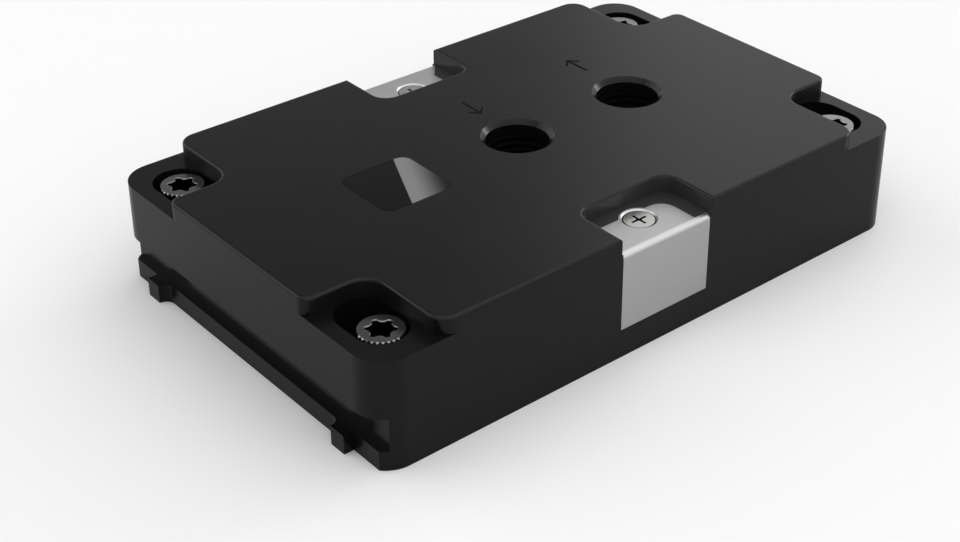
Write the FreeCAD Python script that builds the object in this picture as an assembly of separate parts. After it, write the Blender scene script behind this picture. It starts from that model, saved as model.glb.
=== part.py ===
import FreeCAD, Part
import math
import os
from FreeCAD import Vector

# Water block for a large server processor socket, in millimetres.
# The block lies flat, with +X along its length, +Y across it and +Z up.
# The origin is the middle of the underside.

# Main body, machined from one slab of black acetal
LENGTH = 118.0
WIDTH = 75.0
HEIGHT = 23.0
SIDE_RADIUS = 5.7
TOP_EDGE_RADIUS = 0.5

# Stepped notches at the four corners, which give a driver access to the nuts
STEP_DEPTH = 3.1
NOTCH_LENGTH = 12.1
NOTCH_WIDTH = 17.7
NOTCH_INNER_RADIUS = 3.8
NOTCH_END_MOUTH_RADIUS = 1.9
NOTCH_SIDE_MOUTH_RADIUS = 3.2

# Undercut along both ends and the thin flange below it
SLOT_DEPTH = 2.7
SLOT_HEIGHT = 6.0
FLANGE_THICKNESS = 3.5
FLANGE_INSET = 1.4
LUG_PROUD = 0.4
LUG_WIDTH = 3.4
LUG_FROM_SIDE = 10.2
LUG_SWEEP = 1.75

# Coolant ports, quarter inch pipe thread
PORT_ROW_SHIFT = -0.3
PORT_PITCH = 26.6
THREAD_MINOR_RADIUS = 5.72
THREAD_MAJOR_RADIUS = 6.58
THREAD_DEPTH = 9.5
PASSAGE_RADIUS = 4.5

# Badge inlay
BADGE_SIZE = 14.0
BADGE_RADIUS = 2.0
BADGE_THICKNESS = 1.0
BADGE_GAP = 0.08

# Folded side brackets and their screws
SHEET = 0.8
BEND_RADIUS = 1.0
BRACKET_WIDTH = 19.7
BRACKET_HEIGHT = 14.45
BRACKET_GAP = 0.08
TONGUE_WIDTH = 14.4
TONGUE_LENGTH = 8.6
TONGUE_ROUND_CORNER = 3.0
TONGUE_TIGHT_CORNER = 0.5
TONGUE_TAPER = 3.1
RECESS_SIDE_ROOM = 0.35
RECESS_BACK_ROOM = 2.7
RECESS_INNER_RADIUS = 3.0
BRACKET_SCREW_INSET = 6.8
BRACKET_SCREW_HEAD_RADIUS = 2.8
BRACKET_SCREW_LENGTH = 10.0
SCREW_RADIUS = 1.5
SCREW_LIP = 0.1
SCREW_CLEARANCE = 0.15
SCREW_TIP = 0.5
SCREW_HOLE_ROOM = 1.0
CROSS_SPAN = 3.2
CROSS_ARM_WIDTH = 0.45
CROSS_WELL_RADIUS = 0.5
CROSS_DEPTH = 0.9
COUNTERSINK_ROOM = 0.35
TONGUE_EYE_WALL = 0.3
SEAT_GAP = 0.02
THREAD_GAP = 0.02
BEND_RELIEF = 0.4

# Cold plate and its fins
PLATE_THICKNESS = 3.5
PLATE_END_MARGIN = 14.5
PLATE_SIDE_MARGIN = 4.0
PLATE_RADIUS = 4.0
PLATE_GAP = 0.1
PLATE_RIM = 10.0
FIN_HEIGHT = 2.5
FIN_LENGTH = 40.0
FIN_FIELD_WIDTH = 33.5
FIN_THICKNESS = 0.5
FIN_PITCH = 1.0

# Chamber over the fins, with the jet plate and the flow insert
CHAMBER_RADIUS = 4.5
JET_PLATE_THICKNESS = 0.8
JET_SLOT_WIDTH = 1.2
JET_SLOT_LENGTH = 30.0
INSERT_HEIGHT = 3.2
INSERT_SETBACK = 3.0
INSERT_OVERHANG = 2.2
INSERT_RADIUS = 2.5
INSERT_EAR_WIDTH = 4.0
INSERT_EAR_HEIGHT = 1.2
INSERT_EAR_INSET = 4.0
INSERT_GAP = 0.1
PLENUM_WIDTH = 9.0
PLENUM_HEIGHT = 1.6

# Rubber seals, drawn in their squeezed shape
SEAL_WIDTH = 2.2
SEAL_HEIGHT = 1.6
SEAL_ROOM = 0.1
SEAL_OFFSET = 2.6
SEAL_ROUNDING = 0.55
INLET_SEAL_RADIUS = 7.0
INLET_SEAL_WIDTH = 1.6
INLET_SEAL_HEIGHT = 1.0
INLET_SEAL_ROUNDING = 0.35

# Screws that hold the cold plate
PLATE_SCREW_INSET = 3.6
PLATE_SCREW_SPREAD = 14.0
PLATE_SCREW_LENGTH = 8.0
PLATE_SCREW_HEAD_RADIUS = 2.75

# Captive nuts at the corners, with star sockets
NUT_INSET_X = 7.75
NUT_INSET_Y = 9.0
NUT_HEAD_RADIUS = 3.95
NUT_HEAD_HEIGHT = 4.5
NUT_HEAD_SINK = 0.55
NUT_HEAD_CHAMFER = 0.25
NUT_TEETH = 28
NUT_TOOTH_DEPTH = 0.3
NUT_SHANK_RADIUS = 3.0
NUT_BORE_GAP = 0.075
NUT_FOOT_HEIGHT = 0.8
NUT_THREAD_RADIUS = 1.65
NUT_THREAD_MOUTH_RADIUS = 2.1
NUT_THREAD_DEPTH = 10.0
STAR_LOBES = 6
STAR_WAIST_RADIUS = 1.82
STAR_LOBE_RADIUS = 0.45
STAR_TIP_RADIUS = 2.5
STAR_TURN = 19.0
STAR_DEPTH = 2.6
WASHER_THICKNESS = 0.8
WASHER_OUTER_RADIUS = 4.1
WASHER_GAP = 0.08

# Long pockets around the nuts, which reach back along the notch towards its inner corner
NUT_POCKET_WIDTH = 9.1
NUT_POCKET_LENGTH = 13.4
NUT_POCKET_WALL = 0.15

# Relief below each nut, and the open spring ring that keeps the nut in
FOOT_POCKET_RADIUS = 4.6
FOOT_POCKET_DEPTH = 3.4
RING_THICKNESS = 0.6
RING_OUTER_RADIUS = 4.1
RING_MOUTH_WIDTH = 3.6
RING_PLAY = 0.3
RING_GROOVE_DEPTH = 0.5
RING_GROOVE_ROOM = 0.1
RING_GRIP_GAP = 0.02

# Places that follow from the sizes above
HALF_LENGTH = LENGTH / 2
HALF_WIDTH = WIDTH / 2
STEP_Z = HEIGHT - STEP_DEPTH
NOTCH_X = HALF_LENGTH - NOTCH_LENGTH
NOTCH_Y = HALF_WIDTH - NOTCH_WIDTH
NUT_X = HALF_LENGTH - NUT_INSET_X
NUT_Y = HALF_WIDTH - NUT_INSET_Y
NUT_TOP_Z = STEP_Z - NUT_HEAD_SINK
NUT_SEAT_Z = NUT_TOP_Z - NUT_HEAD_HEIGHT
NUT_POCKET_X = NOTCH_X + NUT_POCKET_WALL + NUT_POCKET_WIDTH / 2
NUT_POCKET_Y = NOTCH_Y + NUT_POCKET_WALL + NUT_POCKET_LENGTH / 2
NUT_POCKET_Z = NUT_SEAT_Z - WASHER_THICKNESS
RING_TOP_Z = FOOT_POCKET_DEPTH - RING_PLAY
FLANGE_X = HALF_LENGTH - FLANGE_INSET
LUG_X = HALF_LENGTH + LUG_PROUD
LUG_Y = HALF_WIDTH - LUG_FROM_SIDE
SLOT_X = HALF_LENGTH - SLOT_DEPTH
SLOT_TOP_Z = FLANGE_THICKNESS + SLOT_HEIGHT
INLET_X = PORT_ROW_SHIFT
OUTLET_X = PORT_ROW_SHIFT + PORT_PITCH
BADGE_X = PORT_ROW_SHIFT - PORT_PITCH
PLATE_HALF_X = HALF_LENGTH - PLATE_END_MARGIN
PLATE_HALF_Y = HALF_WIDTH - PLATE_SIDE_MARGIN
CHAMBER_HALF_X = PLATE_HALF_X - PLATE_RIM
CHAMBER_HALF_Y = PLATE_HALF_Y - PLATE_RIM
FIN_TOP_Z = PLATE_THICKNESS + FIN_HEIGHT
INSERT_Z = FIN_TOP_Z + JET_PLATE_THICKNESS
CEILING_Z = INSERT_Z + INSERT_HEIGHT
INSERT_HALF_X = FIN_LENGTH / 2 - INSERT_SETBACK
INSERT_HALF_Y = FIN_FIELD_WIDTH / 2 + INSERT_OVERHANG
BRACKET_SCREW_Y = HALF_WIDTH - BRACKET_SCREW_INSET
TONGUE_EDGE_Y = HALF_WIDTH - TONGUE_LENGTH
BEND_Y = HALF_WIDTH - BEND_RADIUS
RECESS_HALF_X = BRACKET_WIDTH / 2 + RECESS_SIDE_ROOM
RECESS_Y = TONGUE_EDGE_Y - RECESS_BACK_ROOM
HEAD_SINK = COUNTERSINK_ROOM - SCREW_LIP - SEAT_GAP
BRACKET_SINK_RADIUS = BRACKET_SCREW_HEAD_RADIUS + COUNTERSINK_ROOM
EYE_RADIUS = BRACKET_SINK_RADIUS + TONGUE_EYE_WALL
SHEET_SEAT_Z = STEP_Z - SHEET
UP = Vector(0, 0, 1)
OVER = 2.0


def outline(corners):
    """A closed wire through corners (x, y, radius), with a tangent arc at each rounded one."""
    starts = []
    ends = []
    arcs = []
    count = len(corners)
    for i, (x, y, radius) in enumerate(corners):
        here = Vector(x, y, 0)
        before = Vector(corners[i - 1][0], corners[i - 1][1], 0)
        after = Vector(corners[(i + 1) % count][0], corners[(i + 1) % count][1], 0)
        inward = (here - before).normalize()
        outward = (after - here).normalize()
        if radius <= 0:
            starts.append(here)
            ends.append(here)
            arcs.append(None)
            continue
        turn = inward.getAngle(outward)
        setback = radius * math.tan(turn / 2)
        start = here - inward * setback
        end = here + outward * setback
        towards = (outward - inward).normalize()
        centre = here + towards * (radius / math.cos(turn / 2))
        middle = centre - towards * radius
        starts.append(start)
        ends.append(end)
        arcs.append(Part.Arc(start, middle, end).toShape())
    edges = []
    for i in range(count):
        if arcs[i] is not None:
            edges.append(arcs[i])
        following = starts[(i + 1) % count]
        if ends[i].distanceToPoint(following) > 1e-6:
            edges.append(Part.LineSegment(ends[i], following).toShape())
    return Part.Wire(edges)


def prism(corners, low, high):
    """An upright block with the given outline, between two heights."""
    face = Part.Face(outline(corners))
    face.translate(Vector(0, 0, low))
    return face.extrude(Vector(0, 0, high - low))


def rectangle(half_x, half_y, radius, x=0.0, y=0.0):
    """The four corners of a rectangle about (x, y), each with the same radius."""
    return [
        (x - half_x, y - half_y, radius),
        (x + half_x, y - half_y, radius),
        (x + half_x, y + half_y, radius),
        (x - half_x, y + half_y, radius),
    ]


def block(x_span, y_span, z_span):
    """A square block between two places along each axis."""
    size = [high - low for low, high in (x_span, y_span, z_span)]
    return Part.makeBox(*size, Vector(x_span[0], y_span[0], z_span[0]))


def disc(radius, x, y, low, high):
    """A round bar between two heights."""
    return Part.makeCylinder(radius, high - low, Vector(x, y, low), UP)


def cone(low_radius, high_radius, x, y, low, high):
    """A round taper between two heights."""
    return Part.makeCone(low_radius, high_radius, high - low, Vector(x, y, low), UP)


def four_ways(shape):
    """The shape and its mirror images in X, in Y and in both."""
    copies = [shape]
    copies.append(shape.mirror(Vector(0, 0, 0), Vector(1, 0, 0)))
    copies += [copy.mirror(Vector(0, 0, 0), Vector(0, 1, 0)) for copy in copies]
    return copies


def both_ends(shape):
    """The shape and its mirror image at the other end."""
    return [shape, shape.mirror(Vector(0, 0, 0), Vector(1, 0, 0))]


def both_sides(shape):
    """The shape and a copy of it turned half round, on the other long side."""
    return [shape, shape.rotated(Vector(0, 0, 0), UP, 180)]


def one_solid(shape):
    """The single solid in a result, with split faces joined."""
    return shape.removeSplitter().Solids[0]


def level_edges(shape, z):
    """The edges that lie flat at one height."""
    return [e for e in shape.Edges if abs(e.BoundBox.ZMin - z) < 1e-4 and abs(e.BoundBox.ZMax - z) < 1e-4]


def corner_notch():
    """The space of one stepped corner: a rounded inner corner and a flared mouth on each side."""
    end_flare_y = NOTCH_Y - 2 * NOTCH_END_MOUTH_RADIUS
    side_flare_x = NOTCH_X - 2 * NOTCH_SIDE_MOUTH_RADIUS
    return prism(
        [
            (NOTCH_X, NOTCH_Y, NOTCH_INNER_RADIUS),
            (HALF_LENGTH, NOTCH_Y, NOTCH_END_MOUTH_RADIUS),
            (HALF_LENGTH, end_flare_y, 0),
            (HALF_LENGTH + OVER, end_flare_y, 0),
            (HALF_LENGTH + OVER, HALF_WIDTH + OVER, 0),
            (side_flare_x, HALF_WIDTH + OVER, 0),
            (side_flare_x, HALF_WIDTH, 0),
            (NOTCH_X, HALF_WIDTH, NOTCH_SIDE_MOUTH_RADIUS),
        ],
        STEP_Z,
        HEIGHT + OVER,
    )


def bracket_notch():
    """The space over one bracket, open at the long side."""
    return prism(
        [
            (-RECESS_HALF_X, RECESS_Y, RECESS_INNER_RADIUS),
            (RECESS_HALF_X, RECESS_Y, RECESS_INNER_RADIUS),
            (RECESS_HALF_X, HALF_WIDTH + OVER, 0),
            (-RECESS_HALF_X, HALF_WIDTH + OVER, 0),
        ],
        STEP_Z,
        HEIGHT + OVER,
    )


def slab():
    """The outer form of the body, with its steps and softened upper edges."""
    body = prism(rectangle(HALF_LENGTH, HALF_WIDTH, SIDE_RADIUS), 0, HEIGHT)
    body = one_solid(body.cut(four_ways(corner_notch()) + both_sides(bracket_notch())))
    return body.makeFillet(TOP_EDGE_RADIUS, level_edges(body, HEIGHT)).Solids[0]


def end_space():
    """What is milled away at the +X end: the undercut slot, and the flange's edge back to its inset."""
    beyond_x = HALF_LENGTH + OVER
    across = (-HALF_WIDTH - OVER, HALF_WIDTH + OVER)
    slot = block((SLOT_X, beyond_x), across, (FLANGE_THICKNESS, SLOT_TOP_Z))
    edge = block((FLANGE_X, beyond_x), across, (-OVER, FLANGE_THICKNESS))
    return slot.fuse(edge)


def end_lug():
    """One lug of the +X flange: square outside, and swept into the flange on its inner side."""
    inner_y = LUG_Y - LUG_WIDTH / 2
    outer_y = LUG_Y + LUG_WIDTH / 2
    return prism(
        [
            (SLOT_X, inner_y - 2 * LUG_SWEEP, 0),
            (FLANGE_X, inner_y - 2 * LUG_SWEEP, 0),
            (FLANGE_X, inner_y, LUG_SWEEP),
            (LUG_X, inner_y, 0),
            (LUG_X, outer_y, 0),
            (SLOT_X, outer_y, 0),
        ],
        0,
        FLANGE_THICKNESS,
    )


def port_space(x):
    """One port: a chamfered mouth, the thread's bore and the narrower passage to the chamber."""
    mouth = THREAD_MAJOR_RADIUS - THREAD_MINOR_RADIUS
    passage = disc(PASSAGE_RADIUS, x, 0, CEILING_Z - OVER, HEIGHT + OVER)
    bore = disc(THREAD_MINOR_RADIUS, x, 0, HEIGHT - THREAD_DEPTH, HEIGHT + OVER)
    chamfer = cone(THREAD_MINOR_RADIUS, THREAD_MAJOR_RADIUS + OVER, x, 0, HEIGHT - mouth, HEIGHT + OVER)
    return [passage, bore, chamfer]


def nut_space():
    """One nut's pocket, its close bore and the relief below for the retaining ring."""
    half = NUT_POCKET_WIDTH / 2
    pocket_corners = rectangle(half, NUT_POCKET_LENGTH / 2, half, NUT_POCKET_X, NUT_POCKET_Y)
    pocket = prism(pocket_corners, NUT_POCKET_Z, STEP_Z + OVER)
    bore = disc(NUT_SHANK_RADIUS + NUT_BORE_GAP, NUT_X, NUT_Y, -OVER, STEP_Z)
    foot = disc(FOOT_POCKET_RADIUS, NUT_X, NUT_Y, -OVER, FOOT_POCKET_DEPTH)
    return pocket.fuse([bore, foot])


def tongue_outline():
    """A bracket's upper leg, square to the fold on one side and tapered out to it on the other."""
    half = TONGUE_WIDTH / 2
    shoulder = BRACKET_WIDTH / 2
    return [
        (-half, TONGUE_EDGE_Y, TONGUE_ROUND_CORNER),
        (half, TONGUE_EDGE_Y, TONGUE_TIGHT_CORNER),
        (half, BEND_Y - TONGUE_TAPER, 0),
        (shoulder, BEND_Y, 0),
        (shoulder, HALF_WIDTH, 0),
        (-shoulder, HALF_WIDTH, 0),
        (-shoulder, BEND_Y, 0),
        (-half, BEND_Y, 0),
    ]


def bracket_seat():
    """The space that a bracket lies in, flush on the step and on the long side, and its screw hole."""
    top = Part.Face(outline(tongue_outline())).makeOffset2D(BRACKET_GAP, 2)
    top.translate(Vector(0, 0, SHEET_SEAT_Z))
    top = top.extrude(Vector(0, 0, SHEET + OVER))
    eye = disc(EYE_RADIUS + BRACKET_GAP, 0, BRACKET_SCREW_Y, SHEET_SEAT_Z, STEP_Z + OVER)
    half = BRACKET_WIDTH / 2 + BRACKET_GAP
    back_y = HALF_WIDTH - SHEET
    foot_z = STEP_Z - BRACKET_HEIGHT - BRACKET_GAP
    side = block((-half, half), (back_y, HALF_WIDTH + OVER), (foot_z, STEP_Z + OVER))
    bevel = Part.Face(
        Part.makePolygon(
            [
                Vector(-half, back_y, SHEET_SEAT_Z - BEND_RELIEF),
                Vector(-half, back_y - BEND_RELIEF, SHEET_SEAT_Z),
                Vector(-half, back_y + BEND_RELIEF, SHEET_SEAT_Z + BEND_RELIEF),
                Vector(-half, back_y, SHEET_SEAT_Z - BEND_RELIEF),
            ]
        )
    ).extrude(Vector(2 * half, 0, 0))
    hole_z = STEP_Z - BRACKET_SCREW_LENGTH - SCREW_HOLE_ROOM
    hole = disc(SCREW_RADIUS + THREAD_GAP, 0, BRACKET_SCREW_Y, hole_z, STEP_Z)
    sink = cone(0, BRACKET_SINK_RADIUS, 0, BRACKET_SCREW_Y, STEP_Z - BRACKET_SINK_RADIUS, STEP_Z)
    return top.fuse([eye, side, bevel, hole, sink])


def plate_screw_places():
    """The cold plate's screws: pairs along both long edges and one more at each end."""
    x = PLATE_HALF_X - PLATE_SCREW_INSET
    y = PLATE_HALF_Y - PLATE_SCREW_INSET
    places = [(sx * at, sy * y) for at in (x, PLATE_SCREW_SPREAD) for sx in (-1, 1) for sy in (-1, 1)]
    return places + [(-x, 0.0), (x, 0.0)]


def seal_outline(offset):
    """The line that the chamber's seal follows, moved sideways by an offset."""
    spread = SEAL_OFFSET + offset
    return rectangle(CHAMBER_HALF_X + spread, CHAMBER_HALF_Y + spread, CHAMBER_RADIUS + spread)


def make_body():
    """The acetal body, cut from its slab."""
    body = slab().cut(both_ends(end_space()))
    body = body.fuse(four_ways(end_lug()))
    spaces = port_space(INLET_X) + port_space(OUTLET_X)
    spaces += four_ways(nut_space()) + both_sides(bracket_seat())
    badge_half = BADGE_SIZE / 2 + BADGE_GAP
    badge_corners = rectangle(badge_half, badge_half, BADGE_RADIUS + BADGE_GAP, BADGE_X)
    spaces.append(prism(badge_corners, HEIGHT - BADGE_THICKNESS, HEIGHT + OVER))
    plate_x = PLATE_HALF_X + PLATE_GAP
    plate_y = PLATE_HALF_Y + PLATE_GAP
    spaces.append(prism(rectangle(plate_x, plate_y, PLATE_RADIUS + PLATE_GAP), -OVER, PLATE_THICKNESS))
    chamber = rectangle(CHAMBER_HALF_X, CHAMBER_HALF_Y, CHAMBER_RADIUS)
    spaces.append(prism(chamber, PLATE_THICKNESS - OVER, CEILING_Z))
    room = SEAL_WIDTH / 2 + SEAL_ROOM
    groove = prism(seal_outline(room), 0, PLATE_THICKNESS + SEAL_HEIGHT)
    groove = groove.cut(prism(seal_outline(-room), 0, PLATE_THICKNESS + SEAL_HEIGHT))
    spaces.append(groove)
    hole_top = PLATE_SCREW_LENGTH + SCREW_HOLE_ROOM
    for x, y in plate_screw_places():
        spaces.append(disc(SCREW_RADIUS + THREAD_GAP, x, y, 0, hole_top))
    return one_solid(body.cut(spaces))


def cross_recess(x, y, top):
    """The four-armed driver recess of a small countersunk screw."""
    arm = CROSS_SPAN / 2
    half = CROSS_ARM_WIDTH / 2
    low = top - CROSS_DEPTH
    along = block((x - arm, x + arm), (y - half, y + half), (low, top + OVER))
    across = block((x - half, x + half), (y - arm, y + arm), (low, top + OVER))
    well = cone(half, CROSS_WELL_RADIUS, x, y, low, top)
    return along.fuse([across, well])


def countersunk_screw(x, y, top, head_radius, length):
    """A countersunk screw that hangs down from its head, with a cross recess."""
    head_height = head_radius - SCREW_RADIUS
    rim_z = top - SCREW_LIP
    neck_z = rim_z - head_height
    tip_z = top - length
    head = cone(SCREW_RADIUS, head_radius, x, y, neck_z, rim_z)
    rim = disc(head_radius, x, y, rim_z, top)
    shank = disc(SCREW_RADIUS, x, y, tip_z + SCREW_TIP, neck_z)
    tip = cone(SCREW_RADIUS - SCREW_TIP, SCREW_RADIUS, x, y, tip_z, tip_z + SCREW_TIP)
    screw = head.fuse([rim, shank, tip])
    return one_solid(screw.cut(cross_recess(x, y, top)))


def make_bracket():
    """The +Y bracket, folded from sheet: a tongue on the step and a plate down the long side."""
    half = BRACKET_WIDTH / 2
    inner_radius = BEND_RADIUS - SHEET
    bend_z = STEP_Z - BEND_RADIUS
    tongue = prism(tongue_outline(), SHEET_SEAT_Z, STEP_Z)
    tongue = tongue.common(block((-half, half), (0, BEND_Y), (SHEET_SEAT_Z, STEP_Z)))
    eye = disc(EYE_RADIUS, 0, BRACKET_SCREW_Y, SHEET_SEAT_Z, STEP_Z)
    along = Vector(1, 0, 0)
    bend = Part.makeCylinder(BEND_RADIUS, 2 * half, Vector(-half, BEND_Y, bend_z), along)
    bend = bend.cut(Part.makeCylinder(inner_radius, 2 * half, Vector(-half, BEND_Y, bend_z), along))
    bend = bend.common(block((-half, half), (BEND_Y, HALF_WIDTH), (bend_z, STEP_Z)))
    foot_z = STEP_Z - BRACKET_HEIGHT
    plate = block((-half, half), (HALF_WIDTH - SHEET, HALF_WIDTH), (foot_z, bend_z))
    bracket = tongue.fuse([eye, bend, plate])
    sink_z = STEP_Z - BRACKET_SINK_RADIUS
    sink = cone(0, BRACKET_SINK_RADIUS + OVER, 0, BRACKET_SCREW_Y, sink_z, STEP_Z + OVER)
    return one_solid(bracket.cut(sink))


def make_cold_plate():
    """The nickel-plated copper plate, with a field of skived fins on its upper face."""
    plate = prism(rectangle(PLATE_HALF_X, PLATE_HALF_Y, PLATE_RADIUS), 0, PLATE_THICKNESS)
    fins = []
    count = int((FIN_FIELD_WIDTH - FIN_THICKNESS) / FIN_PITCH) + 1
    first = -(count - 1) * FIN_PITCH / 2 - FIN_THICKNESS / 2
    for i in range(count):
        y = first + i * FIN_PITCH
        y_span = (y, y + FIN_THICKNESS)
        fins.append(block((-FIN_LENGTH / 2, FIN_LENGTH / 2), y_span, (PLATE_THICKNESS, FIN_TOP_Z)))
    plate = plate.fuse(fins)
    holes = []
    sink = PLATE_SCREW_HEAD_RADIUS + COUNTERSINK_ROOM
    for x, y in plate_screw_places():
        holes.append(disc(SCREW_RADIUS + SCREW_CLEARANCE, x, y, -OVER, PLATE_THICKNESS + OVER))
        holes.append(cone(sink, 0, x, y, 0, sink))
    return one_solid(plate.cut(holes))


def make_plate_screws():
    """The countersunk screws that come up through the cold plate into the body."""
    screws = []
    for x, y in plate_screw_places():
        screw = countersunk_screw(0, 0, 0, PLATE_SCREW_HEAD_RADIUS, PLATE_SCREW_LENGTH)
        screw.rotate(Vector(0, 0, 0), Vector(1, 0, 0), 180)
        screw.translate(Vector(x, y, HEAD_SINK))
        screws.append(screw)
    return Part.makeCompound(screws)


def make_jet_plate():
    """The thin steel plate that lies on the fins, with one slot across them."""
    plate = prism(rectangle(INSERT_HALF_X, INSERT_HALF_Y, INSERT_RADIUS), FIN_TOP_Z, INSERT_Z)
    half = JET_SLOT_WIDTH / 2
    slot = rectangle(half, JET_SLOT_LENGTH / 2, half, INLET_X)
    return one_solid(plate.cut(prism(slot, FIN_TOP_Z - OVER, INSERT_Z + OVER)))


def make_flow_insert():
    """The acetal insert that leads the inlet to the jet slot, with ears that centre it in the chamber."""
    body = prism(rectangle(INSERT_HALF_X, INSERT_HALF_Y, INSERT_RADIUS), INSERT_Z, CEILING_Z)
    ear_y = CHAMBER_HALF_Y - INSERT_GAP
    ears = []
    for side in (-1, 1):
        x = side * (INSERT_HALF_X - INSERT_EAR_INSET)
        x_span = (x - INSERT_EAR_WIDTH / 2, x + INSERT_EAR_WIDTH / 2)
        ears.append(block(x_span, (-ear_y, ear_y), (CEILING_Z - INSERT_EAR_HEIGHT, CEILING_Z)))
    body = body.fuse(ears)
    plenum = rectangle(PLENUM_WIDTH / 2, JET_SLOT_LENGTH / 2, PLENUM_WIDTH / 2, INLET_X)
    inlet = disc(PASSAGE_RADIUS, INLET_X, 0, INSERT_Z, CEILING_Z + OVER)
    groove_inner = INLET_SEAL_RADIUS - INLET_SEAL_WIDTH / 2 - SEAL_ROOM
    groove_outer = INLET_SEAL_RADIUS + INLET_SEAL_WIDTH / 2 + SEAL_ROOM
    groove_z = CEILING_Z - INLET_SEAL_HEIGHT
    groove = disc(groove_outer, INLET_X, 0, groove_z, CEILING_Z + OVER)
    groove = groove.cut(disc(groove_inner, INLET_X, 0, groove_z, CEILING_Z + OVER))
    return one_solid(body.cut([prism(plenum, INSERT_Z - OVER, INSERT_Z + PLENUM_HEIGHT), inlet, groove]))


def soften(shape, radius):
    """Rounds every edge that lies flat at the top or the bottom of a ring."""
    flat = level_edges(shape, shape.BoundBox.ZMin) + level_edges(shape, shape.BoundBox.ZMax)
    return shape.makeFillet(radius, flat).Solids[0]


def make_inlet_seal():
    """The small ring that seals the insert against the chamber's ceiling."""
    low = CEILING_Z - INLET_SEAL_HEIGHT
    ring = disc(INLET_SEAL_RADIUS + INLET_SEAL_WIDTH / 2, INLET_X, 0, low, CEILING_Z)
    ring = ring.cut(disc(INLET_SEAL_RADIUS - INLET_SEAL_WIDTH / 2, INLET_X, 0, low, CEILING_Z))
    return soften(ring, INLET_SEAL_ROUNDING)


def make_chamber_seal():
    """The long ring that seals the chamber against the cold plate."""
    top = PLATE_THICKNESS + SEAL_HEIGHT
    ring = prism(seal_outline(SEAL_WIDTH / 2), PLATE_THICKNESS, top)
    ring = ring.cut(prism(seal_outline(-SEAL_WIDTH / 2), PLATE_THICKNESS, top))
    return soften(ring, SEAL_ROUNDING)


def make_badge():
    """The polished inlay in the upper face."""
    corners = rectangle(BADGE_SIZE / 2, BADGE_SIZE / 2, BADGE_RADIUS, BADGE_X)
    return prism(corners, HEIGHT - BADGE_THICKNESS, HEIGHT)


def star_outline():
    """The driver socket's outline: outward lobes joined by tangent inward arcs."""
    half_step = math.pi / STAR_LOBES
    lobe_at = STAR_TIP_RADIUS - STAR_LOBE_RADIUS
    closeness = math.cos(half_step)
    excess = lobe_at**2 + STAR_WAIST_RADIUS**2 - STAR_LOBE_RADIUS**2
    excess -= 2 * lobe_at * STAR_WAIST_RADIUS * closeness
    waist_arc = excess / (2 * (STAR_LOBE_RADIUS - STAR_WAIST_RADIUS + lobe_at * closeness))
    waist_at = STAR_WAIST_RADIUS + waist_arc
    share = STAR_LOBE_RADIUS / (STAR_LOBE_RADIUS + waist_arc)

    def polar(radius, angle):
        return Vector(radius * math.cos(angle), radius * math.sin(angle), 0)

    edges = []
    for i in range(STAR_LOBES):
        angle = 2 * half_step * i
        lobe = polar(lobe_at, angle)
        before = lobe + (polar(waist_at, angle - half_step) - lobe) * share
        after = lobe + (polar(waist_at, angle + half_step) - lobe) * share
        following = polar(lobe_at, angle + 2 * half_step)
        onward = following + (polar(waist_at, angle + half_step) - following) * share
        edges.append(Part.Arc(before, polar(STAR_TIP_RADIUS, angle), after).toShape())
        edges.append(Part.Arc(after, polar(STAR_WAIST_RADIUS, angle + half_step), onward).toShape())
    return Part.Wire(edges)


def make_nut():
    """A captive nut about the Z axis: a serrated head with a star socket, and a shank threaded from below."""
    root = NUT_HEAD_RADIUS - NUT_TOOTH_DEPTH
    teeth = []
    for i in range(2 * NUT_TEETH):
        radius = NUT_HEAD_RADIUS if i % 2 else root
        angle = math.pi * i / NUT_TEETH
        teeth.append(Vector(radius * math.cos(angle), radius * math.sin(angle), NUT_SEAT_Z))
    teeth.append(teeth[0])
    head = Part.Face(Part.makePolygon(teeth)).extrude(Vector(0, 0, NUT_HEAD_HEIGHT))
    low_rim = disc(NUT_HEAD_RADIUS, 0, 0, NUT_SEAT_Z, NUT_TOP_Z - NUT_HEAD_CHAMFER)
    high_rim = cone(
        NUT_HEAD_RADIUS, NUT_HEAD_RADIUS - NUT_HEAD_CHAMFER, 0, 0, NUT_TOP_Z - NUT_HEAD_CHAMFER, NUT_TOP_Z
    )
    head = head.common(low_rim.fuse(high_rim))
    shank = disc(NUT_SHANK_RADIUS, 0, 0, NUT_FOOT_HEIGHT, NUT_SEAT_Z + NUT_HEAD_HEIGHT / 2)
    nut = head.fuse(shank)
    socket_z = NUT_TOP_Z - STAR_DEPTH
    socket = Part.Face(star_outline()).extrude(Vector(0, 0, STAR_DEPTH + OVER))
    socket.rotate(Vector(0, 0, 0), UP, STAR_TURN)
    socket.translate(Vector(0, 0, socket_z))
    thread_top = NUT_FOOT_HEIGHT + NUT_THREAD_DEPTH
    thread = disc(NUT_THREAD_RADIUS, 0, 0, NUT_FOOT_HEIGHT - OVER, thread_top)
    mouth_z = NUT_FOOT_HEIGHT + NUT_THREAD_MOUTH_RADIUS - NUT_THREAD_RADIUS
    lead_in = cone(NUT_THREAD_MOUTH_RADIUS, NUT_THREAD_RADIUS, 0, 0, NUT_FOOT_HEIGHT, mouth_z)
    groove_low = RING_TOP_Z - RING_THICKNESS - RING_GROOVE_ROOM
    groove_high = RING_TOP_Z + RING_GROOVE_ROOM
    groove = disc(NUT_SHANK_RADIUS + OVER, 0, 0, groove_low, groove_high)
    groove = groove.cut(disc(NUT_SHANK_RADIUS - RING_GROOVE_DEPTH, 0, 0, groove_low, groove_high))
    return one_solid(nut.cut([socket, thread, lead_in, groove]))


def make_washer():
    """The slippery washer under a nut's head, about the Z axis."""
    ring = disc(WASHER_OUTER_RADIUS, 0, 0, NUT_POCKET_Z, NUT_SEAT_Z)
    return ring.cut(disc(NUT_SHANK_RADIUS + WASHER_GAP, 0, 0, NUT_POCKET_Z, NUT_SEAT_Z)).Solids[0]


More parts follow.
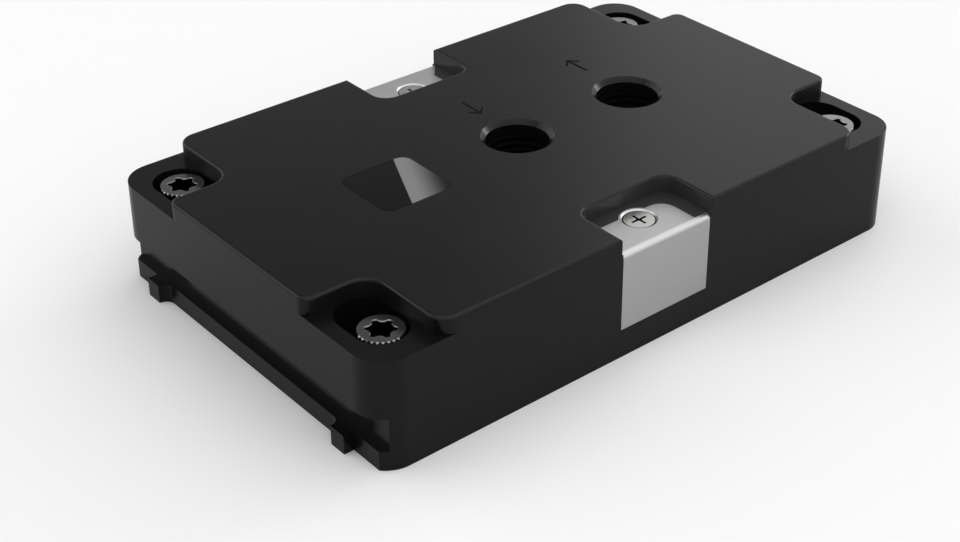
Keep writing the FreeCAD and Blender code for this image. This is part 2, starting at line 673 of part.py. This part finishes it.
def make_ring():
    """The open spring ring that keeps a nut in the body, about the Z axis."""
    low = RING_TOP_Z - RING_THICKNESS
    grip = NUT_SHANK_RADIUS - RING_GROOVE_DEPTH + RING_GRIP_GAP
    ring = disc(RING_OUTER_RADIUS, 0, 0, low, RING_TOP_Z)
    ring = ring.cut(disc(grip, 0, 0, low, RING_TOP_Z))
    half = RING_MOUTH_WIDTH / 2
    return ring.cut(block((0, RING_OUTER_RADIUS + OVER), (-half, half), (low, RING_TOP_Z))).Solids[0]


def save(name, shape):
    """Writes one node's solid."""
    shape.exportStep(os.path.join("parts", name + ".step"))


os.makedirs("parts", exist_ok=True)
save("body", make_body())
save("cold_plate", make_cold_plate())
save("cold_plate_screws", make_plate_screws())
save("chamber_seal", make_chamber_seal())
save("jet_plate", make_jet_plate())
save("flow_insert", make_flow_insert())
save("inlet_seal", make_inlet_seal())
save("badge", make_badge())

bracket_rear, bracket_front = both_sides(make_bracket())
save("bracket_rear", bracket_rear)
save("bracket_front", bracket_front)
bracket_screw_top = STEP_Z - HEAD_SINK
screw_sizes = (bracket_screw_top, BRACKET_SCREW_HEAD_RADIUS, BRACKET_SCREW_LENGTH)
save("bracket_screw_rear", countersunk_screw(0, BRACKET_SCREW_Y, *screw_sizes))
save("bracket_screw_front", countersunk_screw(0, -BRACKET_SCREW_Y, *screw_sizes))

nut_places = {
    "right_rear": Vector(NUT_X, NUT_Y, 0),
    "left_rear": Vector(-NUT_X, NUT_Y, 0),
    "right_front": Vector(NUT_X, -NUT_Y, 0),
    "left_front": Vector(-NUT_X, -NUT_Y, 0),
}
for corner_name, nut_place in nut_places.items():
    save("nut_" + corner_name, make_nut().translated(nut_place))
    save("nut_washer_" + corner_name, make_washer().translated(nut_place))
    save("nut_ring_" + corner_name, make_ring().translated(nut_place))
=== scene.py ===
import math

import bmesh
import bpy
from mathutils import Matrix, Vector


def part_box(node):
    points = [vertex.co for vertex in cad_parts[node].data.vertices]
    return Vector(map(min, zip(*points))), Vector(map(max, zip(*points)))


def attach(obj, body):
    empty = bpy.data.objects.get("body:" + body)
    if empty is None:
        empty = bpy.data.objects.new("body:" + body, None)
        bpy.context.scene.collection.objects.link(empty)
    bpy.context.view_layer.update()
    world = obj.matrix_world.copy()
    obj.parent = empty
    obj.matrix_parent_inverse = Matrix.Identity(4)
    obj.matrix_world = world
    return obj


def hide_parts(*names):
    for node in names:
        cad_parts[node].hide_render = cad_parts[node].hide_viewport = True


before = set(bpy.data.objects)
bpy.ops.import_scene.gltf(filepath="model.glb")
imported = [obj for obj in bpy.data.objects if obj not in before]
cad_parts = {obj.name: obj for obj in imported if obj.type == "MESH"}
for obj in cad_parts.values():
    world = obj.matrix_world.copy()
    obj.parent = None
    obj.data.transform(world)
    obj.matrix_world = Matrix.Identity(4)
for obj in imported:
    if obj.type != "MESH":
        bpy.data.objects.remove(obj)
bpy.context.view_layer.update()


# Body. One slab of black acetal, milled from plate: stepped corners, notches for the brackets, long pockets
# round the nuts, undercut ends and two tapped ports. The cutter leaves a smooth satin skin, a little cloudy,
# and duller on the walls of the corner notches. The top face is painted greyer than the sides, as painted
# light, and the bracket notches greyer still, as painted light thrown back from the bright brackets.

mm = 0.001


class Wire:
    """One socket of a finish. Arithmetic on wires adds Math nodes."""

    def __init__(self, board, socket):
        self.board = board
        self.socket = socket

    def math(self, operation, *values):
        return self.board.node("ShaderNodeMath", {"operation": operation}, dict(enumerate(values)))

    def __add__(self, other):
        return self.math("ADD", self, other)

    def __sub__(self, other):
        return self.math("SUBTRACT", self, other)

    def __rsub__(self, other):
        return self.math("SUBTRACT", other, self)

    def __mul__(self, other):
        return self.math("MULTIPLY", self, other)

    def __truediv__(self, other):
        return self.math("DIVIDE", self, other)

    def __pow__(self, other):
        return self.math("POWER", self, other)

    def __abs__(self):
        return self.math("ABSOLUTE", self)

    __radd__ = __add__
    __rmul__ = __mul__

    def between(self, low, high):
        """0 below low, 1 above high and a smooth rise from one to the other."""
        inputs = {"Value": self, "From Min": low, "From Max": high}
        return self.board.node("ShaderNodeMapRange", {"interpolation_type": "SMOOTHSTEP"}, inputs)

    def beside(self, output):
        """Another output of the same node."""
        return Wire(self.board, self.socket.node.outputs[output])


class Board:
    """The nodes of one finish, or of the light from all round."""

    def __init__(self, tree):
        self.nodes = tree.nodes
        self.links = tree.links

    def node(self, kind, settings=None, inputs=None, output=0):
        node = self.nodes.new(kind)
        for name, value in (settings or {}).items():
            setattr(node, name, value)
        for name, value in (inputs or {}).items():
            self.feed(node.inputs[name], value)
        return Wire(self, node.outputs[output])

    def feed(self, socket, value):
        if isinstance(value, Wire):
            self.links.new(value.socket, socket)
        elif socket.type == "RGBA":
            socket.default_value = (*value, 1)
        else:
            socket.default_value = value

    def blend(self, factor, first, second):
        inputs = {0: factor, 6: first, 7: second}
        return self.node("ShaderNodeMix", {"data_type": "RGBA"}, inputs, output=2)


class Finish(Board):
    """The surface of one material: a Principled shader, and nodes that read the piece's own coordinates."""

    def __init__(self, name, **shader):
        self.material = bpy.data.materials.new(name)
        self.material.use_nodes = True
        super().__init__(self.material.node_tree)
        self.shader = self.nodes["Principled BSDF"]
        for socket, value in shader.items():
            self.shader.inputs[socket.replace("_", " ").title().replace("Ior", "IOR")].default_value = value
        self.place = self.node("ShaderNodeTexCoord", output="Object")

    def grain(self, size, detail=3, stretch=(1, 1, 1)):
        """Cloudy noise from 0 to 1 with patches of the given size, drawn out along the axes by stretch."""
        scale = tuple(1 / (size * s) for s in stretch)
        place = self.node("ShaderNodeVectorMath", {"operation": "MULTIPLY"}, {0: self.place, 1: scale})
        return self.node("ShaderNodeTexNoise", None, {"Vector": place, "Scale": 1.0, "Detail": detail})

    def bump(self, height, depth, strength=1.0):
        return self.node("ShaderNodeBump", None, {"Height": height, "Distance": depth, "Strength": strength})

    def surface(self, **wires):
        """Feeds what varies over the surface to the shader."""
        for socket, wire in wires.items():
            self.feed(self.shader.inputs[socket.replace("_", " ").title()], wire)

    def dress(self, *pieces):
        for piece in pieces:
            piece.data.materials.clear()
            piece.data.materials.append(self.material)


def milled_acetal(name):
    """Acetal as the cutter leaves it, its tone for the colour and its unevenness for the roughness."""
    finish = Finish(name, ior=1.3)
    clouds = finish.grain(14 * mm, detail=4)
    skin = finish.grain(0.16 * mm, detail=2)
    feed_lines = finish.grain(0.3 * mm, detail=2, stretch=(60, 1, 1))
    tone = clouds * 0.5 + skin * 0.3 + feed_lines * 0.2
    finish.surface(normal=finish.bump(skin + feed_lines * 0.4, 0.002 * mm, 0.3))
    return finish, tone, clouds * 0.05 + skin * 0.04


BODY_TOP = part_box("body")[1].z
STEP_TOP = 19.9 * mm
CORNER_NOTCH_X = 46.6 * mm
CORNER_NOTCH_Y = 19.5 * mm
BRACKET_NOTCH_HALF_X = 10.4 * mm
BRACKET_NOTCH_Y = 26 * mm
SIDE_Y = 37.4 * mm
TOP_ROUNDING = 0.6 * mm
MASK_EDGE = 0.1 * mm
FINE_MASK_EDGE = 0.05 * mm
SIDE_TONES = ((0.003, 0.003, 0.0033), (0.006, 0.006, 0.0065))
# The next two tone pairs are painted light: lighter greys for the bracket notches and for the top face.
NOTCH_PAINTED_LIGHT_TONES = ((0.027, 0.027, 0.0275), (0.036, 0.036, 0.0365))
TOP_PAINTED_LIGHT_TONES = ((0.0065, 0.0065, 0.007), (0.0105, 0.0105, 0.011))

acetal, tone, uneven = milled_acetal("black acetal")
place = acetal.node("ShaderNodeSeparateXYZ", None, {0: acetal.place}, output="X")
sideways = abs(place)
across = abs(place.beside("Y"))
height = place.beside("Z")
top_face = height.between(BODY_TOP - TOP_ROUNDING, BODY_TOP - MASK_EDGE)
corner_walls = (
    sideways.between(CORNER_NOTCH_X, CORNER_NOTCH_X + MASK_EDGE)
    * across.between(CORNER_NOTCH_Y, CORNER_NOTCH_Y + MASK_EDGE)
    * height.between(STEP_TOP + FINE_MASK_EDGE, STEP_TOP + MASK_EDGE)
    * (1 - top_face)
)
notch_painted_light = (
    (1 - sideways.between(BRACKET_NOTCH_HALF_X, BRACKET_NOTCH_HALF_X + MASK_EDGE))
    * across.between(BRACKET_NOTCH_Y, BRACKET_NOTCH_Y + MASK_EDGE)
    * (1 - across.between(SIDE_Y, SIDE_Y + FINE_MASK_EDGE))
)
# The bracket notches and the top face get the lighter greys: painted light on one acetal.
colour = acetal.blend(tone, *SIDE_TONES)
colour = acetal.blend(notch_painted_light, colour, acetal.blend(tone, *NOTCH_PAINTED_LIGHT_TONES))
colour = acetal.blend(top_face, colour, acetal.blend(tone, *TOP_PAINTED_LIGHT_TONES))
acetal.surface(base_color=colour, roughness=0.17 + corner_walls * 0.3 + uneven)
acetal.dress(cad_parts["body"])


# Port threads. The inlet and the outlet are tapped for a quarter inch pipe fitting, nineteen turns to the
# inch. The ridges are cut in the block's own acetal, start below the mouth and fade out at both ends. They
# are painted darker than the block, as painted shade inside the bore.

PORT_THREAD_PITCH = 1.337 * mm
PORT_WALL_RADIUS = 5.73 * mm
PORT_CREST_RADIUS = 5.5 * mm
PORT_THREAD_TOP = 19.8 * mm
PORT_THREAD_TURNS = 4
PORT_STEPS_PER_TURN = 72
RIDGE_HALF_BASE = 0.58 * mm
RIDGE_HALF_CREST = 0.12 * mm
RIDGE_FADE = 0.125
PORT_PLACES = {"in": -0.3 * mm, "out": 26.3 * mm}

tapped, tone, uneven = milled_acetal("tapped acetal")
tapped.shader.inputs["IOR"].default_value = 1.13
# The ridges' darker colour is painted shade inside the bore.
tapped.surface(
    base_color=tapped.blend(tone, (0.001, 0.001, 0.0013), (0.0025, 0.0025, 0.003)),
    roughness=0.6 + uneven,
)


def new_piece(name, mesh, smooth=True):
    data = bpy.data.meshes.new(name)
    mesh.to_mesh(data)
    mesh.free()
    for polygon in data.polygons:
        polygon.use_smooth = smooth
    piece = bpy.data.objects.new(name, data)
    bpy.context.scene.collection.objects.link(piece)
    return piece


def thread_ridge(piece_name, x):
    """One port's thread, spun from its ridge's section and faded into the wall at both ends."""
    mesh = bmesh.new()
    section = []
    for radius, z in (
        (PORT_WALL_RADIUS, RIDGE_HALF_BASE),
        (PORT_CREST_RADIUS, RIDGE_HALF_CREST),
        (PORT_CREST_RADIUS, -RIDGE_HALF_CREST),
        (PORT_WALL_RADIUS, -RIDGE_HALF_BASE),
    ):
        section.append(mesh.verts.new((radius, 0, PORT_THREAD_TOP + z)))
    face = mesh.faces.new(section)
    bmesh.ops.spin(
        mesh, geom=[face], axis=(0, 0, 1), cent=(0, 0, 0), angle=math.tau * PORT_THREAD_TURNS,
        dvec=(0, 0, -PORT_THREAD_PITCH / PORT_STEPS_PER_TURN), steps=PORT_THREAD_TURNS * PORT_STEPS_PER_TURN,
    )
    length = PORT_THREAD_PITCH * PORT_THREAD_TURNS
    for vert in mesh.verts:
        down = (PORT_THREAD_TOP - vert.co.z) / length
        fade = min(1, max(0, min(down, 1 - down) / RIDGE_FADE))
        radius = math.hypot(vert.co.x, vert.co.y)
        wanted = PORT_WALL_RADIUS - (PORT_WALL_RADIUS - radius) * fade
        vert.co.x *= wanted / radius
        vert.co.y *= wanted / radius
    bmesh.ops.recalc_face_normals(mesh, faces=mesh.faces)
    bmesh.ops.translate(mesh, verts=mesh.verts, vec=(x, 0, 0))
    piece = new_piece(piece_name, mesh)
    tapped.dress(piece)
    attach(piece, "block")


for port, x in PORT_PLACES.items():
    thread_ridge("port_thread_" + port, x)


# Flow marks. A small plain arrow beside each port is cut into the top by a fine engraver, which leaves a dull
# dark floor and a slight burr along the edges. It points to the inlet's port and away from the outlet's.

MARK_PLACES = {"in": (0.2 * mm, 13.3 * mm, math.pi), "out": (26.6 * mm, 14.4 * mm, 0.0)}
MARK_OUTLINE = [
    (0, 3), (1.9, 1.1), (1.45, 0.65), (0.32, 1.78), (0.32, -3),
    (-0.32, -3), (-0.32, 1.78), (-1.45, 0.65), (-1.9, 1.1),
]
MARK_SINK = 0.01 * mm
MARK_BURR_WIDTH = 0.03 * mm
MARK_BURR_RISE = 0.04 * mm
MARK_FLOOR_DROP = 0.02 * mm

engraved = Finish("engraved acetal", ior=1.2)
cut_marks = engraved.grain(0.12 * mm, detail=2)
engraved.surface(
    base_color=engraved.blend(cut_marks, (0.001, 0.001, 0.001), (0.004, 0.004, 0.004)),
    roughness=0.7 + cut_marks * 0.25,
    normal=engraved.bump(cut_marks, 0.02 * mm),
)

for port, (x, y, turn) in MARK_PLACES.items():
    mesh = bmesh.new()
    outline = [mesh.verts.new((px * mm, py * mm, BODY_TOP - MARK_SINK)) for px, py in MARK_OUTLINE]
    floor_face = mesh.faces.new(outline)
    floor_face.normal_update()
    for rise in (MARK_BURR_RISE, -MARK_FLOOR_DROP):
        bmesh.ops.inset_region(
            mesh, faces=[floor_face], thickness=MARK_BURR_WIDTH, use_boundary=True, use_even_offset=True,
        )
        bmesh.ops.translate(mesh, verts=floor_face.verts, vec=(0, 0, rise))
    if floor_face.normal.z < 0:
        bmesh.ops.reverse_faces(mesh, faces=mesh.faces)
    for face in mesh.faces:
        face.material_index = int(face == floor_face)
    place = Matrix.Translation((x, y, 0)) @ Matrix.Rotation(turn, 4, "Z")
    bmesh.ops.transform(mesh, matrix=place, verts=mesh.verts)
    mark = new_piece("flow_mark_" + port, mesh, smooth=False)
    mark.data.materials.append(acetal.material)
    mark.data.materials.append(engraved.material)
    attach(mark, "block")


# Inlet seal and chamber seal. Closed cords of moulded black rubber, dull with a dusty skin. They lie squeezed
# in their grooves, one on top of the flow insert and one between the body and the cold plate.

rubber = Finish("seal rubber", ior=1.5)
dust = rubber.grain(1.2 * mm, detail=5)
pores = rubber.grain(0.15 * mm, detail=2)
rubber.surface(
    base_color=rubber.blend(dust.between(0.45, 0.75), (0.012, 0.012, 0.012), (0.035, 0.034, 0.032)),
    roughness=0.62 + dust * 0.2,
    normal=rubber.bump(pores, 0.01 * mm),
)
rubber.dress(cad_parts["inlet_seal"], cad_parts["chamber_seal"])


# Flow insert. A second milled block of black acetal that leads the water from the inlet to the jet plate. Its
# ears centre it in the chamber, and the cold plate below holds it up against the ceiling.

insert_acetal, tone, uneven = milled_acetal("insert acetal")
insert_acetal.surface(
    base_color=insert_acetal.blend(tone, (0.006, 0.006, 0.0065), (0.012, 0.012, 0.0125)),
    roughness=0.3 + uneven,
)
insert_acetal.dress(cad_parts["flow_insert"])


# Jet plate. A thin stainless sheet, rolled along its length and cut with one slot across the fins. It lies
# between the fins and the flow insert.

def worked_metal(name, darkest, lightest, roughness, width, stretch, depth):
    """Metal with fine lines from rolling, grinding or brushing, drawn out along the axes by stretch."""
    finish = Finish(name, metallic=1.0)
    lines = finish.grain(width, detail=3, stretch=stretch)
    stains = finish.grain(5 * mm, detail=4)
    finish.surface(
        base_color=finish.blend(lines * 0.7 + stains * 0.3, darkest, lightest),
        roughness=roughness + lines * 0.08 + stains * 0.08,
        normal=finish.bump(lines, depth, 0.6),
    )
    return finish


rolled = worked_metal(
    "rolled sheet", (0.50, 0.50, 0.50), (0.66, 0.66, 0.65),
    roughness=0.24, width=0.12 * mm, stretch=(50, 1, 1), depth=0.003 * mm,
)
rolled.dress(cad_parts["jet_plate"])


# Cold plate. Copper with fine skived fins, ground flat on its face and nickel plated, so it is a warm pale
# grey. It is let into the underside of the body.

nickel = worked_metal(
    "ground nickel", (0.55, 0.525, 0.485), (0.72, 0.69, 0.64),
    roughness=0.2, width=0.1 * mm, stretch=(80, 1, 1), depth=0.003 * mm,
)
nickel.dress(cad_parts["cold_plate"])


# Cold plate screws. Ten countersunk steel screws that hold the cold plate in the body. They are zinc plated,
# bright, with a slightly milky, uneven skin.

zinc = Finish("zinc plating", metallic=1.0)
milk = zinc.grain(1.5 * mm, detail=4)
fine = zinc.grain(0.1 * mm, detail=2)
zinc.surface(
    base_color=zinc.blend(milk, (0.50, 0.52, 0.54), (0.70, 0.71, 0.72)),
    roughness=0.24 + milk * 0.16,
    normal=zinc.bump(fine, 0.004 * mm, 0.5),
)
zinc.dress(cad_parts["cold_plate_screws"])


# Nut washers. Thin rings, punched from dark slippery plastic. One lies under each nut's head and lets the nut
# turn on the acetal.

washer_plastic = Finish("washer plastic", ior=1.46)
moulding = washer_plastic.grain(0.8 * mm, detail=3)
washer_plastic.surface(
    base_color=washer_plastic.blend(moulding, (0.035, 0.035, 0.036), (0.065, 0.065, 0.066)),
    roughness=0.42 + moulding * 0.16,
    normal=washer_plastic.bump(moulding, 0.01 * mm, 0.4),
)
CORNERS = ("right_rear", "left_rear", "right_front", "left_front")
for corner in CORNERS:
    washer_plastic.dress(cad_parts["nut_washer_" + corner])


# Captive nuts. Dark plated steel, turned on a lathe, so fine rings run round each nut's own axis. The rim is
# serrated, and the star socket is pressed, with an eased bright edge. Inside, it is painted nearly black:
# plating residue and painted shade.

NUT_X = 51.25 * mm
NUT_Y = 28.5 * mm
NUT_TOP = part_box("nut_left_front")[1].z
TURNING_PITCH = 0.09 * mm
RING_WOBBLE = 5
SOCKET_RADIUS = 2.6 * mm
SOCKET_EASE = 0.13 * mm
SOCKET_SHADE_DEPTH = 0.3 * mm
SHARP_EDGE = math.radians(30)
MERGE_DISTANCE = 0.0005 * mm
LEVEL_DISTANCE = 0.001 * mm

turned = Finish("turned steel", metallic=1.0)
place = turned.node("ShaderNodeSeparateXYZ", None, {0: turned.place}, output="X")
x = abs(place) - NUT_X
y = abs(place.beside("Y")) - NUT_Y
radius = (x * x + y * y) ** 0.5
wobble = turned.grain(0.7 * mm, detail=3)
phase = radius / TURNING_PITCH * math.tau + wobble * RING_WOBBLE
rings = phase.math("SINE", phase) * 0.5 + 0.5
plating = turned.blend(rings * 0.4 + wobble * 0.6, (0.24, 0.24, 0.245), (0.33, 0.33, 0.335))
# Below the socket's mouth the colour goes nearly black: plating residue and painted shade.
below_top = 1 - place.beside("Z").between(NUT_TOP - SOCKET_SHADE_DEPTH, NUT_TOP - SOCKET_EASE)
residue_and_painted_shade = below_top * (1 - radius.between(SOCKET_RADIUS, SOCKET_RADIUS + MASK_EDGE))
turned.surface(
    base_color=turned.blend(residue_and_painted_shade, plating, (0.012, 0.012, 0.013)),
    roughness=0.14 + rings * 0.03 + wobble * 0.06,
    normal=turned.bump(rings, 0.002 * mm, 0.6),
)


def eased_nut(corner):
    """The nut with the sharp edge of its star socket's mouth eased."""
    mesh = bmesh.new()
    mesh.from_mesh(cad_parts["nut_" + corner].data)
    bmesh.ops.remove_doubles(mesh, verts=mesh.verts, dist=MERGE_DISTANCE)
    low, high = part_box("nut_" + corner)
    middle = (low + high) / 2
    mouth = []
    for edge in mesh.edges:
        inside = all((vert.co.xy - middle.xy).length < SOCKET_RADIUS for vert in edge.verts)
        at_top = all(high.z - vert.co.z < LEVEL_DISTANCE for vert in edge.verts)
        if inside and at_top and edge.calc_face_angle() > SHARP_EDGE:
            mouth.append(edge)
    bmesh.ops.bevel(
        mesh, geom=mouth, affect="EDGES", offset=SOCKET_EASE, segments=2, profile=0.5, material=-1,
    )
    piece = new_piece("eased_nut_" + corner, mesh, smooth=False)
    turned.dress(piece)
    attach(piece, corner + "_nut")
    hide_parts("nut_" + corner)


for corner in CORNERS:
    eased_nut(corner)


# Nut rings. Open rings, stamped from spring steel, dark with phosphate and oil. Each is snapped into the
# groove at its nut's foot and keeps the nut in the body.

phosphate = Finish("phosphated steel", metallic=1.0)
crystals = phosphate.grain(0.2 * mm, detail=4)
phosphate.surface(
    base_color=phosphate.blend(crystals, (0.10, 0.095, 0.09), (0.22, 0.215, 0.21)),
    roughness=0.42 + crystals * 0.2,
    normal=phosphate.bump(crystals, 0.006 * mm, 0.6),
)
for corner in CORNERS:
    phosphate.dress(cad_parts["nut_ring_" + corner])


# Brackets. Spring sheet, cut out and folded down over the long side, with a fine satin brushed along the
# fold. Each is let into the step and the side, and one screw holds it.

satin = worked_metal(
    "satin sheet", (0.54, 0.54, 0.54), (0.63, 0.63, 0.63),
    roughness=0.3, width=0.09 * mm, stretch=(40, 1, 1), depth=0.002 * mm,
)
satin.dress(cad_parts["bracket_rear"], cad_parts["bracket_front"])


# Bracket screws. Small countersunk steel screws, nickel plated and bright, with a pressed cross drive that is
# painted dark inside as painted shade. A thin dark ring is painted where the head meets the bracket, as a
# painted shadow of the gap.

BRACKET_SCREW_Y = 30.7 * mm
SCREW_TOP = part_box("bracket_screw_front")[1].z
CROSS_REACH = 1.7 * mm
CROSS_SHADE_DEPTH = 0.2 * mm
SCREW_RIM = 2.66 * mm
RIM_LINE_HALF_WIDTH = 0.04 * mm

bright = Finish("bright nickel", metallic=1.0)
haze = bright.grain(1.0 * mm, detail=4)
pits = bright.grain(0.12 * mm, detail=2)
place = bright.node("ShaderNodeSeparateXYZ", None, {0: bright.place}, output="X")
y = abs(place.beside("Y")) - BRACKET_SCREW_Y
radius = (place * place + y * y) ** 0.5
# The cross is painted dark inside as painted shade, and a thin ring at the head's edge as a painted shadow of
# the gap.
below_top = 1 - place.beside("Z").between(SCREW_TOP - CROSS_SHADE_DEPTH, SCREW_TOP - FINE_MASK_EDGE)
painted_cross_shade = below_top * (1 - radius.between(CROSS_REACH, CROSS_REACH + MASK_EDGE))
gap_painted_shadow = radius.between(SCREW_RIM - RIM_LINE_HALF_WIDTH, SCREW_RIM + RIM_LINE_HALF_WIDTH)
plating = bright.blend(haze, (0.60, 0.60, 0.59), (0.72, 0.72, 0.70))
bright.surface(
    base_color=bright.blend(painted_cross_shade.math("MAXIMUM", painted_cross_shade, gap_painted_shadow), plating, (0.01, 0.01, 0.01)),
    roughness=0.2 + haze * 0.1,
    normal=bright.bump(pits, 0.001 * mm, 0.3),
)
bright.dress(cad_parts["bracket_screw_rear"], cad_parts["bracket_screw_front"])


# Badge. A square inlay of glossy black plastic, with a painted reflection on it: a graphite-grey field that
# starts at a straight slanting line and fades towards one corner.

BADGE_X = -26.9 * mm
BAND_START = 1.2 * mm
BAND_EDGE = 0.06 * mm
BAND_FADE_START = 2.2 * mm
BAND_FADE_END = 8.4 * mm
BAND_FADE = 0.97
BAND_SLANT = (0.904, -0.427)

gloss = Finish("gloss inlay", ior=1.3)
place = gloss.node("ShaderNodeSeparateXYZ", None, {0: gloss.place}, output="X")
across = (place - BADGE_X) * BAND_SLANT[0] + place.beside("Y") * BAND_SLANT[1]
edge = across.between(BAND_START - BAND_EDGE, BAND_START + BAND_EDGE)
fade = 1 - BAND_FADE * across.between(BAND_FADE_START, BAND_FADE_END)
reflection_speckle = gloss.grain(0.1 * mm, detail=2)
haze = gloss.grain(3 * mm, detail=4)
# The graphite-grey field is a painted reflection of a bright panel, with a fine speckle in it.
painted_reflection = edge * fade * (0.92 + reflection_speckle * 0.16)
gloss.surface(
    base_color=gloss.blend(painted_reflection, (0.002, 0.002, 0.0025), (0.205, 0.205, 0.207)),
    roughness=0.08 + haze * 0.05,
    normal=gloss.bump(haze, 0.01 * mm, 0.1),
)
gloss.dress(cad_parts["badge"])


# Floor. A plain pale studio floor that curves up into a low backdrop all round. It keeps the block's shadow;
# further out it is as bright as paper for the camera and in reflections.

FLOOR_SEEN = (0.9, 0.9, 0.9)
FLOOR_FELT = (0.58, 0.58, 0.58)
FLOOR_DROP = 0.02 * mm
FLOOR_RADIUS = 2.4
FLOOR_STEPS = 64
BACKDROP_RADIUS = 3.2
BACKDROP_HEIGHT = 0.9
BACKDROP_STEPS = 12
FLOOR_MERGE_DISTANCE = 0.001 * mm
GLOW_START = 0.12
GLOW_END = 0.5

mesh = bmesh.new()
profile = [mesh.verts.new((0, 0, -FLOOR_DROP)), mesh.verts.new((FLOOR_RADIUS, 0, -FLOOR_DROP))]
for step in range(1, BACKDROP_STEPS + 1):
    angle = math.pi / 2 * step / BACKDROP_STEPS
    reach = FLOOR_RADIUS + (BACKDROP_RADIUS - FLOOR_RADIUS) * math.sin(angle)
    profile.append(mesh.verts.new((reach, 0, BACKDROP_HEIGHT * (1 - math.cos(angle)))))
edges = [mesh.edges.new(pair) for pair in zip(profile, profile[1:])]
bmesh.ops.spin(
    mesh, geom=profile + edges, axis=(0, 0, 1), cent=(0, 0, 0), angle=math.tau, steps=FLOOR_STEPS,
    use_merge=True,
)
bmesh.ops.remove_doubles(mesh, verts=mesh.verts, dist=FLOOR_MERGE_DISTANCE)
bmesh.ops.recalc_face_normals(mesh, faces=mesh.faces)
if sum(face.normal.z for face in mesh.faces) < 0:
    bmesh.ops.reverse_faces(mesh, faces=mesh.faces)
floor = new_piece("studio_floor", mesh)

paper = Finish("studio paper", roughness=0.9)
paper.shader.inputs["Specular IOR Level"].default_value = 0.2
distance = paper.node("ShaderNodeVectorMath", {"operation": "LENGTH"}, {0: paper.place}, output="Value")
seen = paper.node("ShaderNodeLightPath", output="Is Camera Ray")
paper.surface(base_color=paper.blend(seen, FLOOR_FELT, FLOOR_SEEN))
seen = seen + seen.beside("Is Glossy Ray") + seen.beside("Is Transmission Ray")
glow = paper.node("ShaderNodeEmission", None, {"Color": (1, 1, 1), "Strength": 1.0})
surface = paper.node("ShaderNodeMixShader", None, {
    0: distance.between(GLOW_START, GLOW_END) * seen,
    1: Wire(paper, paper.shader.outputs[0]),
    2: glow,
})
paper.links.new(surface.socket, paper.nodes["Material Output"].inputs["Surface"])
paper.dress(floor)


# Light. It comes from all round, as in a white tent: bright from above, dim from the sides, and a broad soft
# panel behind the right end gives the upper face its sheen. A lamp behind the left end draws light lines on
# the edges that face it, and a small one beyond the right end glints on the port mouths and star sockets.

WALL_GREY = (0.32, 0.32, 0.32)
ROOF_GREY = (0.08, 0.08, 0.08)
WALL_TOP = (0.44, 0.62)
PANEL_WHITE = (1.0, 1.0, 1.0)
PANEL_EDGE = math.radians(43.5)
PANEL_BLUR = 0.05
PANEL_RISE = (0.1, 0.45)
REAR_LAMP = {"direction": (-0.494, 0.76, 0.42), "rim": 0.84, "core": 0.92, "brightness": 1.6}
SIDE_LAMP = {"direction": (0.91, -0.15, 0.386), "rim": 0.96, "core": 0.985, "brightness": 9.0}
CEILING = {"direction": (0.15, -0.4, 0.905), "rim": 0.36, "core": 0.68, "brightness": 1.25}

world = bpy.data.worlds.new("studio")
world.use_nodes = True
bpy.context.scene.world = world
tent = Board(world.node_tree)
facing = tent.node("ShaderNodeTexCoord", output="Generated")
height = tent.node("ShaderNodeSeparateXYZ", None, {0: facing}, output="Z")


def towards(direction):
    """1 for light from the given direction, 0 for light from beside it and -1 for light from behind."""
    inputs = {0: facing, 1: direction}
    return tent.node("ShaderNodeVectorMath", {"operation": "DOT_PRODUCT"}, inputs, output="Value")


beyond_edge = towards((math.cos(PANEL_EDGE), -math.sin(PANEL_EDGE), 0)).between(-PANEL_BLUR, PANEL_BLUR)
light = tent.blend(height.between(*WALL_TOP), WALL_GREY, ROOF_GREY)
light = tent.blend(beyond_edge * height.beside("X").between(*PANEL_RISE), light, PANEL_WHITE)
for lamp in (REAR_LAMP, SIDE_LAMP, CEILING):
    shape = towards(lamp["direction"]).between(lamp["rim"], lamp["core"])
    light = tent.blend(shape, light, (lamp["brightness"],) * 3)
tent.feed(world.node_tree.nodes["Background"].inputs["Color"], light)
bpy.context.scene.view_settings.view_transform = "Standard"


# Camera. It stands in front of the left end and looks down along the block, a little rolled. The shift puts
# the block in its place in the frame.

CAMERA_AT = Vector((-178.1411, -208.7862, 168.8466)) * mm
CAMERA_FORWARD = Vector((0.5727, 0.6609, -0.4850)).normalized()
CAMERA_ROLL = -0.0075
FOCAL_LENGTH = 66.24
SENSOR_WIDTH = 36
FRAME_SHIFT = (-0.0526, -0.1088)

right = CAMERA_FORWARD.cross(Vector((0, 0, 1))).normalized()
down = CAMERA_FORWARD.cross(right)
turned_right = right * math.cos(CAMERA_ROLL) + down * math.sin(CAMERA_ROLL)
turned_down = down * math.cos(CAMERA_ROLL) - right * math.sin(CAMERA_ROLL)
axes = Matrix((turned_right, -turned_down, -CAMERA_FORWARD)).transposed()
lens = bpy.data.cameras.new("camera")
lens.lens = FOCAL_LENGTH
lens.sensor_width = SENSOR_WIDTH
lens.shift_x, lens.shift_y = FRAME_SHIFT
lens.clip_start = 10 * mm
camera = bpy.data.objects.new("camera", lens)
camera.matrix_world = Matrix.Translation(CAMERA_AT) @ axes.to_4x4()
bpy.context.scene.collection.objects.link(camera)
bpy.context.scene.camera = camera
